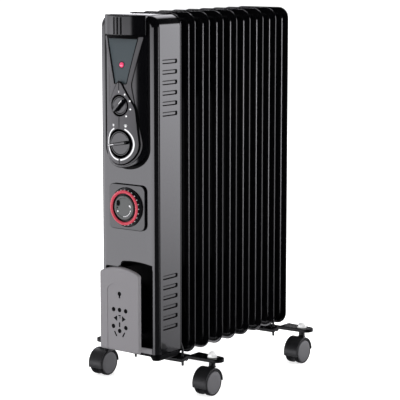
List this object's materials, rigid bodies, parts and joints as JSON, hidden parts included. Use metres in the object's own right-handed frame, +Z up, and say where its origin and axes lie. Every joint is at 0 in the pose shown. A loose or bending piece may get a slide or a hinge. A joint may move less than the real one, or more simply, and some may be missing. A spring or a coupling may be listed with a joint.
{
  "type": "oil filled radiator heater",
  "caption": "Oil filled radiator heater: a stack of pressed fins with a front console carrying power, thermostat and timer dials and a cord wrap, on swivelling twin-wheel casters.",
  "frame": {"origin": "on the floor under the middle of the bounding box", "axes": "+Z up; the control console faces -Y and the fins stack along +Y; +X is the console's right side as seen from the front"},
  "size_m": [0.264, 0.4146, 0.62],
  "materials": {
    "black_enamel": "gloss black stoved enamel",
    "gloss_black_plastic": "gloss moulded",
    "matte_black_plastic": "fine spark texture",
    "satin_black_plastic": "satin moulded",
    "grey_plastic": "satin moulded",
    "caster_black_plastic": "moulded nylon",
    "caster_wheel_plastic": "moulded nylon",
    "red_plastic": "moulded",
    "red_lens": "translucent lens",
    "bright_steel": "bright nickel plate",
    "plain_steel": "zinc plate"
  },
  "bodies": {
    "root": {"console_bottom_cover": "matte_black_plastic", "console_rear_plate": "plain_steel", "console_shell": "black_enamel", "control_panel": "gloss_black_plastic", "cord_inlet_bush": "matte_black_plastic", "cord_plate": "satin_black_plastic", "cord_tray": "matte_black_plastic", "dial_plate": "matte_black_plastic", "element_flange": "plain_steel", "filler_plug": "plain_steel", "fin_1": "black_enamel", "fin_2": "black_enamel", "fin_3": "black_enamel", "fin_4": "black_enamel", "fin_5": "black_enamel", "fin_6": "black_enamel", "fin_7": "black_enamel", "fin_8": "black_enamel", "fin_9": "black_enamel", "front_clamp_rod": "plain_steel", "front_foot_bracket": "black_enamel", "front_left_dome_nut": "bright_steel", "front_left_wing_nut": "plain_steel", "front_right_dome_nut": "bright_steel", "front_right_wing_nut": "plain_steel", "heating_element": "plain_steel", "indicator_plate": "gloss_black_plastic", "lamp_holder": "grey_plastic", "lamp_lens": "red_lens", "panel_surround": "gloss_black_plastic", "power_switch": "grey_plastic", "rear_clamp_rod": "plain_steel", "rear_foot_bracket": "black_enamel", "rear_left_dome_nut": "bright_steel", "rear_left_wing_nut": "plain_steel", "rear_lower_plug": "plain_steel", "rear_right_dome_nut": "bright_steel", "rear_right_wing_nut": "plain_steel", "terminal_block": "grey_plastic", "thermal_cutout": "plain_steel", "thermostat": "grey_plastic", "timer_bezel": "gloss_black_plastic", "timer_centre": "grey_plastic", "timer_motor": "matte_black_plastic", "tip_over_switch": "matte_black_plastic", "top_grip": "gloss_black_plastic", "upper_front_plug": "plain_steel"},
    "front_left_caster": {"front_left_caster_hood": "caster_black_plastic"},
    "front_left_wheel_pair": {"front_left_wheels": "caster_wheel_plastic"},
    "front_right_caster": {"front_right_caster_hood": "caster_black_plastic"},
    "front_right_wheel_pair": {"front_right_wheels": "caster_wheel_plastic"},
    "rear_left_caster": {"rear_left_caster_hood": "caster_black_plastic"},
    "rear_left_wheel_pair": {"rear_left_wheels": "caster_wheel_plastic"},
    "rear_right_caster": {"rear_right_caster_hood": "caster_black_plastic"},
    "rear_right_wheel_pair": {"rear_right_wheels": "caster_wheel_plastic"},
    "power_knob": {"power_knob": "gloss_black_plastic"},
    "thermostat_knob": {"thermostat_knob": "gloss_black_plastic"},
    "timer_dial": {"timer_dial": "matte_black_plastic", "timer_segment_ring": "red_plastic"}
  },
  "joints": [
    {"name": "front_left_swivel", "type": "hinge", "parent": "root", "child": "front_left_caster", "pos_m": [-0.1108, -0.0994, 0.05], "axis": [0, 0, 1], "continuous": true},
    {"name": "front_left_roll", "type": "hinge", "parent": "front_left_caster", "child": "front_left_wheel_pair", "pos_m": [-0.1108, -0.1117, 0.0218], "axis": [1, 0, 0], "continuous": true},
    {"name": "front_right_swivel", "type": "hinge", "parent": "root", "child": "front_right_caster", "pos_m": [0.1108, -0.0994, 0.05], "axis": [0, 0, 1], "continuous": true},
    {"name": "front_right_roll", "type": "hinge", "parent": "front_right_caster", "child": "front_right_wheel_pair", "pos_m": [0.1108, -0.1117, 0.0218], "axis": [1, 0, 0], "continuous": true},
    {"name": "rear_left_swivel", "type": "hinge", "parent": "root", "child": "rear_left_caster", "pos_m": [-0.1108, 0.1673, 0.05], "axis": [0, 0, 1], "continuous": true},
    {"name": "rear_left_roll", "type": "hinge", "parent": "rear_left_caster", "child": "rear_left_wheel_pair", "pos_m": [-0.1108, 0.155, 0.0218], "axis": [1, 0, 0], "continuous": true},
    {"name": "rear_right_swivel", "type": "hinge", "parent": "root", "child": "rear_right_caster", "pos_m": [0.1108, 0.1673, 0.05], "axis": [0, 0, 1], "continuous": true},
    {"name": "rear_right_roll", "type": "hinge", "parent": "rear_right_caster", "child": "rear_right_wheel_pair", "pos_m": [0.1108, 0.155, 0.0218], "axis": [1, 0, 0], "continuous": true},
    {"name": "power_turn", "type": "hinge", "parent": "root", "child": "power_knob", "pos_m": [0, -0.1948, 0.475], "axis": [0, 1, 0], "range_deg": [0, 99]},
    {"name": "thermostat_turn", "type": "hinge", "parent": "root", "child": "thermostat_knob", "pos_m": [0, -0.1948, 0.414], "axis": [0, 1, 0], "range_deg": [-245, 65]},
    {"name": "timer_turn", "type": "hinge", "parent": "root", "child": "timer_dial", "pos_m": [0, -0.1848, 0.309], "axis": [0, 1, 0], "continuous": true}
  ]
}
